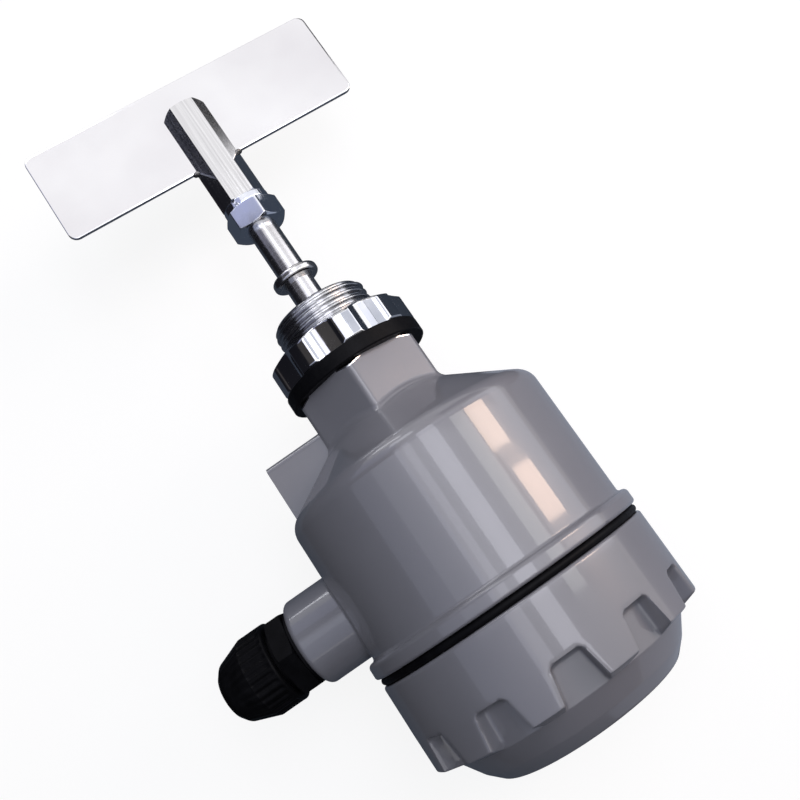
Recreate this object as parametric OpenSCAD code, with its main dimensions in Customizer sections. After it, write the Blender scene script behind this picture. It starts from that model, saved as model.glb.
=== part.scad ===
// Rotary paddle level switch, lying as it is mounted through the side wall of a bin.
// Each piece is drawn about its own turning axis Z, with the paddle end up, and lay() turns that
// axis to +X, so that +Z is up and the cable gland points along +Y.
// The origin is the centre of the flat seat on top of the hexagon neck.

/* [Process connection] */
// Outside diameter of the parallel pipe thread
thread_d = 33.25; // [32:0.05:34]
// Length of the thread above the seat
thread_l = 26; // [25:0.5:32]
// Diameter of the nipple's plain spigot inside the neck
nipple_d = 30; // [29:0.5:31]
// Thickness of the flat gasket
gasket_t = 5; // [3:0.5:6]
// Outside diameter of the gasket, and of the lock nut over its lugs
gasket_d = 48.6; // [44:0.2:52]
// Thickness of the lock nut
locknut_t = 11.5; // [9:0.5:13]
// Number of lugs round the lock nut
locknut_lugs = 9; // [6:1:12]
// Width of a lug of the lock nut at its rim
locknut_lug_w = 6; // [4:0.5:8]
// Depth of a hollow below the straight line between two lugs
locknut_hollow = 1.4; // [0.8:0.1:2]

/* [Housing] */
// Width across the flats of the hexagon neck
neck_af = 41; // [40:0.5:46]
// Radius on the upright edges of the neck
neck_edge_r = 2.5; // [1:0.25:4]
// Width of the turned bevel round the neck's seat, past the flats
neck_bevel = 1; // [0.5:0.1:1.6]
// Length of the hexagon neck down to the cone
neck_l = 15; // [14:0.5:18]
// Height of the sloping shoulder
cone_h = 15.5; // [14:0.5:18]
// Outside diameter of the cylindrical body
body_d = 89; // [88:0.5:96]
// Distance from the seat down to the cover joint
body_l = 81; // [80:0.5:90]
// Thickness of the cast walls
wall = 4; // [3.5:0.25:5]
// Diameter of the rim flange at the cover joint
flange_d = 94; // [93:0.5:100]
// Thickness of the rim flange
flange_t = 5; // [4:0.5:7]
// Length of the threaded spigot that takes the cover
spigot_l = 10; // [8:0.5:12]
// Width of the cast block on the shoulder
block_w = 22; // [16:0.5:26]
// Distance of the block's outer face from the axis
block_x = 40; // [36:0.5:42]
// Depth of the block's top below the seat
block_drop = 10; // [8:0.5:14]

/* [Cover] */
// Length of the cover from its rim to its flat end
cover_l = 40.4; // [39:0.2:50]
// Thickness of the cover's rim round the spigot
cover_wall = 3.85; // [3.4:0.05:5]
// Length of the lugs
lug_l = 10; // [8:0.5:12]
// Height of the dome below the lugs
dome_h = 13; // [11:0.5:16]
// Number of lugs round the cover
lug_count = 12; // [8:1:16]
// Width of a lug at its end
lug_w = 10; // [7:0.5:12]
// Thickness of the sealing ring between rim and cover
seal_t = 2.4; // [2:0.1:3]
// Diameter of the flat end that the cover stands on
end_d = 62; // [50:0.5:63]

/* [Cable gland] */
// Diameter of the cast boss for the gland
boss_d = 28.4; // [27:0.2:32]
// Distance of the boss's end from the axis
boss_x = 60; // [58:0.5:66]
// Distance of the gland's axis above the cover joint
gland_rise = 20.6; // [20:0.2:22]
// Diameter of the gland's thread in the boss
gland_d = 20; // [18:0.5:21]
// Width across the flats of the gland's hexagon
gland_af = 24; // [23:0.5:26]
// Diameter of the largest cable that the insert takes
cable_d = 10; // [8:0.5:11]
// Diameter of the gland's dome nut
dome_d = 26.4; // [25.5:0.2:28]
// Length of the dome nut
dome_l = 19.8; // [18:0.2:23]

/* [Shaft and paddle] */
// Diameter of the paddle shaft
shaft_d = 10; // [9:0.25:10.5]
// Distance from the seat to the paddle's lower edge
paddle_z = 88.3; // [85:0.5:110]
// Length of the paddle across the axis
paddle_l = 108; // [80:1:140]
// Width of the paddle along the axis
paddle_w = 34.5; // [28:0.5:45]
// Thickness of the paddle
paddle_t = 1.5; // [1:0.1:2.5]
// Corner radius of the paddle
paddle_r = 4.5; // [2:0.5:8]
// Angle that the paddle is turned to at rest
paddle_turn = 12; // [0:1:30]
// Width across the flats of the hexagon hub
hub_af = 14; // [13.5:0.25:17]
// Length of the hexagon hub
hub_l = 40.5; // [38:0.5:50]
// Height of the jam nut's lower face above the seat
jam_z = 59.5; // [50:0.5:62]
// Width across the flats of the jam nut
jam_af = 17; // [16:0.5:19]
// Thickness of the jam nut
jam_t = 8.4; // [6:0.2:10]
// Diameter of the collar ring on the shaft
collar_d = 16; // [14:0.5:20]
// Height of the collar ring's middle above the seat
collar_z = 39; // [36:0.5:44]

/* [Drive] */
// Outside diameter of the shaft bearings
bearing_d = 26; // [25:0.5:27]
// Width of the shaft bearings
bearing_w = 8; // [7:0.5:9]
// Diameter of the geared motor
motor_d = 50; // [44:0.5:52]
// Height of the geared motor's case
motor_h = 16; // [12:0.5:17]
// Angle that the motor swings through when the paddle is held
swing = 20; // [15:1:22]
// Throw of the cam that works the switches
cam_throw = 3.4; // [2.5:0.1:4]
// Diameter of the cam
cam_d = 40; // [38:0.5:41]

/* [Hidden] */
$fn = 96;
run_gap = 0.05;
fit_gap = 0.03;
air = 0.3;
eps = 0.5;

// Process connection
thread_r = thread_d / 2;
// Radius at the root of the thread, where the lock nut and gasket cover it
thread_depth = 0.75;
covered_r = thread_r - thread_depth;
nipple_in = neck_l + 8;
nipple_bore_r = bearing_d / 2 - 2;
locknut_z = gasket_t;
locknut_r = gasket_d / 2;

// Housing
body_r = body_d / 2;
cone_foot_z = -(neck_l + cone_h);
cone_top_r = neck_af / 2 - 1;
cone_edge_r = 6;
neck_bevel_angle = 35;
flange_r = flange_d / 2;
cavity_r = body_r - wall;
// Length of the nipple that stands below the cavity's roof
nipple_stand = 3;
roof_z = -nipple_in + nipple_stand;
spigot_r = cavity_r + 2;
spigot_z = -(body_l + spigot_l);
block_low = cone_foot_z + 1;

// Drive, from the chassis plate down
plate_t = 2;
plate_top = -(neck_l + cone_h + 3.5);
plate_low = plate_top - plate_t;
plate_r = cavity_r - 2.5;
bush_r = 12;
bush_bore_r = 9.6;
bush_flange_t = 2;
switch_h = 6.4;
switch_w = 20;
switch_d = 10;
swing_top = plate_low - switch_h - 0.6;
swing_low = swing_top - plate_t;
swing_r = 24;
cam_r = cam_d / 2;
cam_top = plate_low - 1;
clip_t = 0.8;
bush_low = swing_low - 2.5;
motor_r = motor_d / 2;
gear_t = 2;
post_l = 6;
gear_top = swing_low - post_l;
motor_top = gear_top - gear_t;
motor_low = motor_top - motor_h;
post_ring_r = motor_r - 5;
post_r = 2.5;
clutch_r = 9;
clutch_top = plate_top + bush_flange_t + 6;
clutch_low = bush_low + 1;
grub_angles = [0, 120];
grub_z = clutch_top - 3;
grub_r = 1.5;
drive_r = 3;
shaft_r = shaft_d / 2;
shaft_low = clutch_low + 13;
arm_w = 6;
arm_r = 36;
arm_angle = 180;
stop_ring_r = 33;
pin_r = 1.5;
spring_ring_r = 31;
anchor_angle = 122;
spring_z = swing_low - 3;
spring_r = 2;
spring_wire_r = 0.45;
spring_coils = 10;
eye_r = pin_r + spring_wire_r + 0.2;
screw_ring_r = 33;
// Chassis screws, the smaller terminal plate screws, and how far both reach into their threads
screw_r = 1.9;
screw_head_r = 3.4;
small_screw_r = 1.2;
small_head_r = 2.4;
screw_in = 5;
screw_angles = [60, 190, 300];
pillar_ring_r = plate_r - 3.5;
pillar_angles = [40, 140, 220, 320];
pillar_r = 2.5;
earth_angle = 250;
earth_ring_r = plate_r - 8;
earth_screw_r = 1.5;
earth_head_r = 4;
terminal_top = motor_low - 2;
terminal_low = terminal_top - plate_t;
block_len = 46;
block_dep = 16;
block_high = 12;
ways = 6;
// Screw wells, wire mouths and screws of the terminal block
well_r = 2.4;
well_l = 7;
mouth_w = 4;
mouth_foot = 1;
terminal_screw_l = 4;
slot_w = 0.8;
slot_t = 1;
switch_angles = [90, 270];
// Radius that the cam shows to a follower square to its throw, when the swing is halfway
cam_mid_r = sqrt(cam_r * cam_r - cam_throw * cam_throw);
switch_ring_r = cam_mid_r + cam_throw;
plunger_r = 1.2;
plunger_l = 6;
tip_gap = 0.1;
// Radii of the plunger tips at rest, on the low and the high side of the cam
cam_lift = cam_throw * sin(swing / 2);
low_tip_r = cam_mid_r - cam_lift + tip_gap;
high_tip_r = cam_mid_r + cam_lift + tip_gap;

// Cover
cover_top = -(body_l + seal_t + 0.2);
cover_low = cover_top - cover_l;
cover_r = spigot_r + run_gap + cover_wall;
lug_low = cover_low + dome_h;
lug_top = lug_low + lug_l;
dome_top_r = spigot_r - 1.4;
cup_r = dome_top_r - wall + 1;
lug_taper = 4;
lug_slope = 2;
end_r = end_d / 2;
// Middle of the dome's curve between the flat end and the lugs
dome_mid_r = (end_r + dome_top_r) / 2;
dome_mid_h = dome_h * 0.34;

// Gland
gland_z = -(body_l - gland_rise);
boss_r = boss_d / 2;
washer_t = 1.2;
hex_t = 5.8;
gland_r = gland_d / 2;
gland_bore_r = cable_d / 2 + 1.5;
gland_in = body_r + 1;
hex_x = boss_x + washer_t;
dome_x = hex_x + hex_t + 1.4;
dome_r = dome_d / 2;
dome_thread_r = gland_r + 0.6;
// Depth of the insert behind the dome nut's two ends, and the nut's wall round it
insert_set = 3;
insert_wall = 4.8;
insert_x = dome_x + insert_set;
insert_l = dome_l - 2 * insert_set;
insert_r = dome_r - insert_wall;
// Length of the nut's rounded end past its ribbed grip
mouth_l = 10.8;
grip_l = dome_l - mouth_l;
grip_ribs = 30;
groove_r = 0.8;
groove_t = 0.4;

// Shaft and paddle
washer_h = 2.4;
hub_bevel = 0.6;
jam_bevel = 0.8;
jam_turn = 57;
hub_low = jam_z + jam_t + washer_h;
hub_top = hub_low + hub_l;
shaft_top = paddle_z - 2;
lip_seal_l = 6;
lip_groove_l = 3;
lip_set_back = 0.6;
lip_w = 1.5;
lip_case_w = 2;
front_bearing_z = thread_l - lip_seal_l - bearing_w;
rear_bearing_z = -nipple_in + nipple_stand;
ball_r = bearing_w * 0.3;
ball_count = 8;
ball_ring_r = (bearing_d / 2 + shaft_r) / 2;
washer_w = 3.1;
washer_r = shaft_r + washer_w;

// Turns the drawing axis Z to +X, X to +Y and Y to +Z
module lay() {
    rotate([90, 0, 90]) children();
}

// Puts a shape at a radius and an angle about the axis
module around(angle, radius) {
    rotate([0, 0, angle]) translate([radius, 0, 0]) children();
}

// Turns a shape drawn along Z to point outwards from the axis at the gland's height
module at_gland() {
    translate([0, 0, gland_z]) rotate([0, 90, 0]) children();
}

// Unit vector from one point to another
function unit(a, b) = (b - a) / norm(b - a);
// Point of a profile without its radius
function pt(p) = [p[0], p[1]];
// Half of the angle inside a corner
function half_angle(u, v) = acos(max(-1, min(1, u * v))) / 2;

// Closed profile through [x, y, radius] corners in anticlockwise order, with true arcs for the radii
module rounded(corners) {
    n = len(corners);
    last = [for (i = [0:n - 1]) pt(corners[(i + n - 1) % n])];
    next = [for (i = [0:n - 1]) pt(corners[(i + 1) % n])];
    here = [for (c = corners) pt(c)];
    u = [for (i = [0:n - 1]) unit(here[i], last[i])];
    v = [for (i = [0:n - 1]) unit(here[i], next[i])];
    half = [for (i = [0:n - 1]) half_angle(u[i], v[i])];
    reach = [for (i = [0:n - 1]) corners[i][2] / tan(half[i])];
    centre = [for (i = [0:n - 1])
        here[i] + (u[i] + v[i]) / norm(u[i] + v[i]) * corners[i][2] / sin(half[i])];
    turn = [for (i = [0:n - 1]) v[i][0] * u[i][1] - v[i][1] * u[i][0]];
    difference() {
        union() {
            polygon([for (i = [0:n - 1])
                each corners[i][2] > 0
                    ? [here[i] + u[i] * reach[i], here[i] + v[i] * reach[i]]
                    : [here[i]]]);
            for (i = [0:n - 1])
                if (corners[i][2] > 0 && turn[i] > 0)
                    translate(centre[i]) circle(corners[i][2]);
        }
        for (i = [0:n - 1])
            if (corners[i][2] > 0 && turn[i] < 0)
                translate(centre[i]) circle(corners[i][2]);
    }
}

// Solid of revolution from such a profile
module turned(corners) {
    rotate_extrude() rounded(corners);
}

// Ring between two radii and two heights, with one radius on its outer edges
module ring(inner, outer, low, high, edge = 0) {
    turned([[inner, low, 0], [outer, low, edge], [outer, high, edge], [inner, high, 0]]);
}

// Hexagon prism across flats, with a corner pointing at an angle
module hexagon(af, low, high, angle) {
    translate([0, 0, low]) rotate([0, 0, angle])
        cylinder(h = high - low, r = af / sqrt(3), $fn = 6);
}

// Hexagon with its corners turned off at one or both ends
module turned_hexagon(af, low, high, angle, low_cut, high_cut) {
    corner = af / sqrt(3);
    intersection() {
        hexagon(af, low, high, angle);
        rotate_extrude() polygon([[0, low], [corner - low_cut * 2, low], [corner + 0.1, low + low_cut],
            [corner + 0.1, high - high_cut], [corner - high_cut * 2, high], [0, high]]);
    }
}

// Pan head screw along -Z, with its head under the given height
module pan_screw(top, head_low, shank, head) {
    translate([0, 0, head_low]) cylinder(h = top - head_low, r = shank);
    turned([[0, head_low - head * 0.6, 0], [head, head_low - head * 0.6, head * 0.25],
        [head, head_low, 0], [0, head_low, 0]]);
}

// Cast housing: hexagon neck, cone, cylinder, rim flange, cover spigot, shoulder block and gland boss
module housing() {
    color("#7d7d82") lay() difference() {
        union() {
            difference() {
                housing_outside();
                housing_cavity();
            }
            for (a = screw_angles)
                intersection() {
                    around(a, screw_ring_r) translate([0, 0, plate_top])
                        cylinder(h = -plate_top, r = 4.5);
                    housing_outside();
                }
        }
        translate([0, 0, -nipple_in - eps]) cylinder(h = nipple_in + 2 * eps, d = nipple_d + 2 * fit_gap);
        for (a = screw_angles)
            around(a, screw_ring_r) translate([0, 0, plate_top - eps])
                cylinder(h = screw_in + 1 + eps, r = screw_r + air / 3);
        at_gland() cylinder(h = boss_x + eps, r = gland_r + fit_gap);
    }
}

module housing_outside() {
    turned([[0, spigot_z, 0], [spigot_r, spigot_z, 1], [spigot_r, -body_l, 0],
        [flange_r, -body_l, 1], [flange_r, -body_l + flange_t, 1.5],
        [body_r, -body_l + flange_t, 1], [body_r, cone_foot_z, cone_edge_r],
        [cone_top_r, -neck_l, 0], [0, -neck_l, 0]]);
    neck();
    translate([nipple_d / 2 + 2, 0, 0]) rotate([90, 0, 90])
        linear_extrude(height = block_x - nipple_d / 2 - 2)
            rounded([[-block_w / 2, block_low, 0], [block_w / 2, block_low, 0],
                [block_w / 2, -block_drop, 2], [-block_w / 2, -block_drop, 2]]);
    at_gland() turned([[0, nipple_d / 2, 0], [boss_r, nipple_d / 2, 0], [boss_r, boss_x, 2],
        [0, boss_x, 0]]);
}

// Hexagon neck with rounded edges and a bevelled seat, let into the cone
module neck() {
    corner = neck_af / sqrt(3);
    low = -neck_l - 3;
    seat_r = neck_af / 2 + neck_bevel;
    intersection() {
        translate([0, 0, low]) linear_extrude(height = -low)
            rounded([for (a = [30:60:330]) [corner * cos(a), corner * sin(a), neck_edge_r]]);
        rotate_extrude() polygon([[0, low - eps], [corner, low - eps],
            [corner, (seat_r - corner) * tan(neck_bevel_angle)], [seat_r, 0], [0, 0]]);
    }
}

module housing_cavity() {
    turned([[0, spigot_z - eps, 0], [cavity_r, spigot_z - eps, 0], [cavity_r, cone_foot_z - 2, 5],
        [nipple_d / 2 + 4, roof_z, 2], [0, roof_z, 0]]);
}

// Steel nipple: pipe thread outside, bearing seats and seal seat inside
module process_nipple() {
    seat = bearing_d / 2 + fit_gap;
    color("#c9cacc") lay() difference() {
        turned([[0, -nipple_in, 0], [nipple_d / 2, -nipple_in, 0.8], [nipple_d / 2, 0, 0],
            [covered_r, 0, 0], [covered_r, locknut_z + locknut_t, 0],
            [thread_r, locknut_z + locknut_t, 0], [thread_r, thread_l, 1.2], [0, thread_l, 0]]);
        translate([0, 0, -nipple_in - eps]) cylinder(h = nipple_in + thread_l + 2 * eps, r = nipple_bore_r);
        translate([0, 0, front_bearing_z]) cylinder(h = thread_l, r = seat);
        translate([0, 0, -nipple_in - eps])
            cylinder(h = rear_bearing_z + bearing_w + nipple_in + eps, r = seat);
        translate([0, 0, rear_bearing_z - 1.4]) cylinder(h = 1.2, r = seat + 0.7);
    }
}

// Flat rubber gasket on the neck's seat
module gasket() {
    color("#1b1b1d") lay() ring(covered_r + fit_gap, locknut_r, 0, gasket_t, 0.6);
}

// Lock nut: a ring with narrow lugs between wide hollows, bevelled at both ends
module lock_nut() {
    pitch = 360 / locknut_lugs;
    first_hollow = 85.3;
    half = pitch / 2 - asin(locknut_lug_w / 2 / locknut_r);
    half_chord = locknut_r * sin(half);
    hollow_r = (half_chord * half_chord + locknut_hollow * locknut_hollow) / (2 * locknut_hollow);
    hollow_x = locknut_r * cos(half) - locknut_hollow + hollow_r;
    low_bevel = 1;
    high_bevel = 3;
    low = locknut_z;
    high = locknut_z + locknut_t;
    color("#c4c6ca") lay() intersection() {
        translate([0, 0, low]) linear_extrude(height = locknut_t) difference() {
            circle(locknut_r);
            circle(thread_r + run_gap);
            for (i = [0:locknut_lugs - 1])
                rotate(first_hollow + i * pitch) translate([hollow_x, 0]) circle(hollow_r);
        }
        rotate_extrude() polygon([[0, low - eps], [locknut_r - low_bevel, low - eps],
            [locknut_r + eps, low + low_bevel], [locknut_r + eps, high - high_bevel],
            [locknut_r - 2 * high_bevel, high + eps], [0, high + eps]]);
    }
}

// Lip seal in the mouth of the nipple
module shaft_seal() {
    low = front_bearing_z + bearing_w;
    groove_z = thread_l - lip_groove_l;
    lip_r = shaft_r + lip_w;
    case_r = bearing_d / 2 - lip_case_w;
    color("#26262a") lay() difference() {
        ring(shaft_r + run_gap, bearing_d / 2, low, thread_l - lip_set_back, 0.4);
        turned([[lip_r, groove_z, 0.5], [case_r, groove_z, 0.5], [case_r, thread_l, 0],
            [lip_r, thread_l, 0]]);
    }
}

// Half section of a ball bearing ring with its groove
module bearing_ring(inner, outer, low) {
    color("#b9bcc0") lay() rotate_extrude() difference() {
        rounded([[inner, low, 0.4], [outer, low, 0.4], [outer, low + bearing_w, 0.4],
            [inner, low + bearing_w, 0.4]]);
        translate([ball_ring_r, low + bearing_w / 2]) circle(ball_r + run_gap);
    }
}

module bearing_outer(low) {
    bearing_ring(ball_ring_r + ball_r * 0.6, bearing_d / 2, low);
}

module bearing_inner(low) {
    bearing_ring(shaft_r + fit_gap, ball_ring_r - ball_r * 0.6, low);
}

module bearing_balls(low) {
    color("#d5d8dc") lay() for (i = [0:ball_count - 1])
        around(i * 360 / ball_count, ball_ring_r) translate([0, 0, low + bearing_w / 2]) sphere(ball_r);
}

// Snap ring with a gap, between two radii
module snap_ring(inner, outer, low, angle) {
    difference() {
        ring(inner, outer, low, low + clip_t);
        around(angle, inner - 1) translate([0, -1.5, low - eps]) cube([outer, 3, clip_t + 2 * eps]);
    }
}

// Inside snap ring that holds the rear bearing in the nipple
module rear_bearing_clip() {
    color("#4b4d50") lay()
        snap_ring(bearing_d / 2 - 2, bearing_d / 2 + 0.6, rear_bearing_z - 1.2, 90);
}

// Stainless paddle shaft, with grooves for its snap rings
module shaft() {
    color("#c9cacb") lay() difference() {
        turned([[0, shaft_low, 0], [shaft_r, shaft_low, 0.6], [shaft_r, shaft_top, 0.6],
            [0, shaft_top, 0]]);
        for (z = clip_heights())
            ring(shaft_r - 0.4, shaft_r + 1, z - 0.05, z + clip_t + 0.05);
    }
}

function clip_heights() = [rear_bearing_z - clip_t - 0.1, front_bearing_z - clip_t - 0.1];

// Snap rings that hold the shaft against its bearings
module shaft_clips() {
    color("#4b4d50") lay() for (z = clip_heights())
        snap_ring(shaft_r - 0.35, shaft_r + 2, z, 45);
}

// Round collar ring that throws off dust ahead of the seal
module collar_ring() {
    color("#b4b6b9") lay() ring(shaft_r + fit_gap, collar_d / 2, collar_z - 1.6, collar_z + 1.6, 1.2);
}

// Hexagon jam nut that locks the hub
module jam_nut() {
    color("#c6c8cb") lay() difference() {
        turned_hexagon(jam_af, jam_z, jam_z + jam_t, jam_turn, jam_bevel, jam_bevel);
        translate([0, 0, jam_z - eps]) cylinder(h = jam_t + 2 * eps, r = shaft_r + fit_gap);
    }
}

// Split spring washer between jam nut and hub
module spring_washer() {
    low = jam_z + jam_t;
    color("#8d8f92") lay() difference() {
        ring(shaft_r + fit_gap, washer_r, low, low + washer_h, 0.3);
        around(75, shaft_r - 1) translate([0, 0, low + washer_h / 2]) rotate([20, 0, 0])
            translate([0, -0.6, -washer_h]) cube([washer_r, 1.2, 2 * washer_h]);
    }
}

// Hexagon hub: screwed on the shaft and slotted across its corners for the paddle
module paddle_hub() {
    color("#b9bbbd") lay() difference() {
        turned_hexagon(hub_af, hub_low, hub_top, paddle_turn, hub_bevel, hub_bevel);
        translate([0, 0, hub_low - eps]) cylinder(h = shaft_top - hub_low + eps + 1, r = shaft_r + fit_gap);
        rotate([0, 0, paddle_turn]) translate([-hub_af, -paddle_t / 2 - fit_gap, paddle_z - fit_gap])
            cube([2 * hub_af, paddle_t + 2 * fit_gap, hub_top]);
    }
}

// Flat paddle blade with rounded corners
module paddle() {
    half = paddle_l / 2;
    high = paddle_z + paddle_w;
    color("#cfd0d2") lay() rotate([0, 0, paddle_turn]) translate([0, paddle_t / 2, 0]) rotate([90, 0, 0])
        linear_extrude(height = paddle_t)
            rounded([[-half, paddle_z, paddle_r], [half, paddle_z, paddle_r], [half, high, paddle_r],
                [-half, high, paddle_r]]);
}

// Clutch hub that joins the paddle shaft to the motor's shaft
module clutch_hub() {
    color("#b08d4a") lay() difference() {
        ring(0, clutch_r, clutch_low, clutch_top, 0.8);
        translate([0, 0, shaft_low - fit_gap])
            cylinder(h = clutch_top - shaft_low + eps, r = shaft_r + fit_gap);
        translate([0, 0, clutch_low - eps]) cylinder(h = shaft_low - clutch_low - 1, r = drive_r + fit_gap);
        for (a = grub_angles)
            around(a, shaft_r) translate([0, 0, grub_z]) rotate([0, 90, 0])
                cylinder(h = clutch_r, r = grub_r);
    }
}

// Grub screws in the clutch hub
module clutch_screws() {
    color("#55575a") lay() for (a = grub_angles)
        around(a, shaft_r + fit_gap) translate([0, 0, grub_z]) rotate([0, 90, 0])
            cylinder(h = clutch_r - shaft_r - air, r = grub_r - fit_gap);
}

// Output shaft of the geared motor
module drive_shaft() {
    color("#a5a8ab") lay() ring(0, drive_r, gear_top - gear_t + 0.3, shaft_low - 2, 0.3);
}

// Round chassis plate under the cast bosses
module chassis_plate() {
    color("#a9acae") lay() difference() {
        translate([0, 0, plate_low]) cylinder(h = plate_t, r = plate_r);
        translate([0, 0, plate_low - eps]) cylinder(h = plate_t + 2 * eps, r = bush_r + fit_gap);
        for (a = screw_angles)
            around(a, screw_ring_r) translate([0, 0, plate_low - eps])
                cylinder(h = plate_t + 2 * eps, r = screw_r + air / 2);
    }
}

module chassis_screws() {
    color("#8b8e91") lay() for (a = screw_angles)
        around(a, screw_ring_r) pan_screw(plate_top + screw_in, plate_low, screw_r, screw_head_r);
}

// Flanged bush through the chassis plate, on which the motor swings
module pivot_bush() {
    color("#b08d4a") lay() difference() {
        union() {
            ring(bush_bore_r, bush_r + 3, plate_top, plate_top + bush_flange_t, 0.4);
            ring(bush_bore_r, bush_r, bush_low, plate_top, 0);
        }
        ring(bush_r - 0.8, bush_r + 1, swing_low - air - clip_t - 0.05, swing_low - air + 0.05);
    }
}

module bush_clip() {
    color("#4b4d50") lay() snap_ring(bush_r - 0.75, bush_r + 2.2, swing_low - air - clip_t, 250);
}

// Swinging plate that carries the motor, with an arm between the stops
module swing_plate() {
    color("#9a9da0") lay() difference() {
        union() {
            translate([0, 0, swing_low]) cylinder(h = plate_t, r = swing_r);
            rotate([0, 0, arm_angle]) translate([swing_r - 4, -arm_w / 2, swing_low])
                cube([arm_r - swing_r + 4, arm_w, plate_t]);
        }
        translate([0, 0, swing_low - eps]) cylinder(h = plate_t + 2 * eps, r = bush_r + run_gap);
    }
}

// Round cam set off its centre, so that it lifts one plunger and lowers the other as it swings
module cam() {
    color("#e6e3d6") lay() difference() {
        rotate([0, 0, -swing / 2]) translate([cam_throw, 0, swing_top])
            cylinder(h = cam_top - swing_top, r = cam_r);
        translate([0, 0, swing_top - eps]) cylinder(h = cam_top - swing_top + 2 * eps, r = bush_r + air);
    }
}

// Posts that hang the motor under the swinging plate
module motor_posts() {
    color("#a5a8ab") lay() for (a = screw_angles)
        around(a, post_ring_r) translate([0, 0, gear_top]) cylinder(h = post_l, r = post_r);
}

module motor_gearbox() {
    color("#b7babd") lay() difference() {
        union() {
            translate([0, 0, motor_top]) cylinder(h = gear_t, r = motor_r - 1);
            ring(0, drive_r + 3, gear_top, gear_top + 2, 0.5);
        }
        translate([0, 0, motor_top - eps]) cylinder(h = gear_t + 3 + eps, r = drive_r + run_gap);
    }
}

// Drawn steel can of the synchronous motor
module motor_case() {
    color("#8f9295") lay() ring(0, motor_r, motor_low, motor_top, 2);
}

// Post on the arm that takes the moving end of the spring
module spring_post() {
    color("#a5a8ab") lay() around(arm_angle, spring_ring_r) translate([0, 0, spring_z - 3])
        cylinder(h = swing_low - spring_z + 3, r = pin_r);
}

// Post on the chassis plate that takes the fixed end of the spring
module spring_anchor() {
    color("#a5a8ab") lay() around(anchor_angle, spring_ring_r) translate([0, 0, spring_z - 3])
        cylinder(h = plate_low - spring_z + 3, r = pin_r);
}

// Tension spring: one wire through an eye, the coils and the other eye
module return_spring() {
    span = 2 * spring_ring_r * sin((arm_angle - anchor_angle) / 2);
    coil_l = span - 4 * eye_r;
    eye = [for (a = [30:30:300]) [eye_r * sin(a), span / 2 - eye_r * cos(a), 0]];
    lead = [for (a = [0:30:60]) [eye_r / 2 * (1 - sin(a)), coil_l / 2 + eye_r * cos(a), spring_r * sin(a)]];
    coil = [for (a = [0:30:360 * spring_coils])
        [-spring_r * sin(a), coil_l / 2 - coil_l * a / (360 * spring_coils), spring_r * cos(a)]];
    tail = [for (i = [len(lead) - 1:-1:0]) [-lead[i][0], -lead[i][1], lead[i][2]]];
    back = [for (p = eye) [-p[0], -p[1], 0]];
    color("#b9bcc0") lay() rotate([0, 0, (arm_angle + anchor_angle) / 2])
        translate([spring_ring_r * cos((arm_angle - anchor_angle) / 2), 0, spring_z])
            wire(concat([for (i = [len(eye) - 1:-1:0]) eye[i]], lead, coil, tail, back), spring_wire_r);
}

// Round wire along a list of points, as rings that keep their twist from point to point
module wire(path, radius, sides = 8) {
    n = len(path);
    along = [for (i = [0:n - 1]) unit(path[max(i - 1, 0)], path[min(i + 1, n - 1)])];
    start = cross(along[0], [0.3, 0.2, 1]);
    side = [for (i = 0, v = start / norm(start); i < n;
        i = i + 1, v = i < n ? unit([0, 0, 0], v - along[i] * (v * along[i])) : v) v];
    rings = [for (i = [0:n - 1]) for (k = [0:sides - 1])
        let (a = k * 360 / sides)
            path[i] + radius * (side[i] * cos(a) + cross(along[i], side[i]) * sin(a))];
    walls = [for (i = [0:n - 2]) for (k = [0:sides - 1])
        let (a = i * sides + k, b = i * sides + (k + 1) % sides)
            each [[b, a, a + sides], [b + sides, b, a + sides]]];
    first = [for (k = [0:sides - 1]) k];
    last = [for (k = [sides - 1:-1:0]) (n - 1) * sides + k];
    polyhedron(points = rings, faces = concat([first], [last], walls));
}

// Stop pins on either side of the arm's travel
module stop_pins() {
    clear = asin((arm_w / 2 + pin_r + 0.1) / stop_ring_r);
    color("#a5a8ab") lay() for (a = [arm_angle - clear, arm_angle + swing + clear])
        around(a, stop_ring_r) translate([0, 0, swing_low - 1])
            cylinder(h = plate_low - swing_low + 1, r = pin_r);
}

// Case of a snap-action switch under the chassis plate, with a bore for its plunger and two screw holes
module switch_case(angle) {
    color("#2f3033") lay() difference() {
        around(angle, switch_ring_r) translate([0, -switch_w / 2, plate_low - switch_h])
            cube([switch_d, switch_w, switch_h]);
        around(angle, switch_ring_r - eps) translate([0, 0, plate_low - switch_h / 2]) rotate([0, 90, 0])
            cylinder(h = plunger_l, r = plunger_r + run_gap);
        switch_screw_places(angle) translate([0, 0, plate_low - switch_h - eps])
            cylinder(h = switch_h + 2 * eps, r = 1.1);
    }
}

module switch_screw_places(angle) {
    for (s = [-1, 1])
        around(angle, switch_ring_r + switch_d * 0.7) translate([0, s * switch_w * 0.3, 0]) children();
}

// Plunger of a switch, its tip held just clear of the cam at a given radius
module switch_plunger(angle, tip) {
    color("#e9e7e0") lay() around(angle, tip) translate([0, 0, plate_low - switch_h / 2]) rotate([0, 90, 0])
        turned([[0, 0, 0], [plunger_r, 0, plunger_r * 0.4], [plunger_r, plunger_l, 0], [0, plunger_l, 0]]);
}

module switch_screws() {
    color("#8b8e91") lay() for (a = switch_angles)
        switch_screw_places(a) pan_screw(plate_low, plate_low - switch_h, 1, 1.8);
}

// Pillars from the chassis plate down to the terminal plate
module terminal_pillars() {
    color("#a5a8ab") lay() for (a = pillar_angles)
        around(a, pillar_ring_r) translate([0, 0, terminal_top]) difference() {
            cylinder(h = plate_low - terminal_top, r = pillar_r);
            translate([0, 0, -eps]) cylinder(h = screw_in + 1 + eps, r = small_screw_r + air / 3);
        }
}

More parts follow.
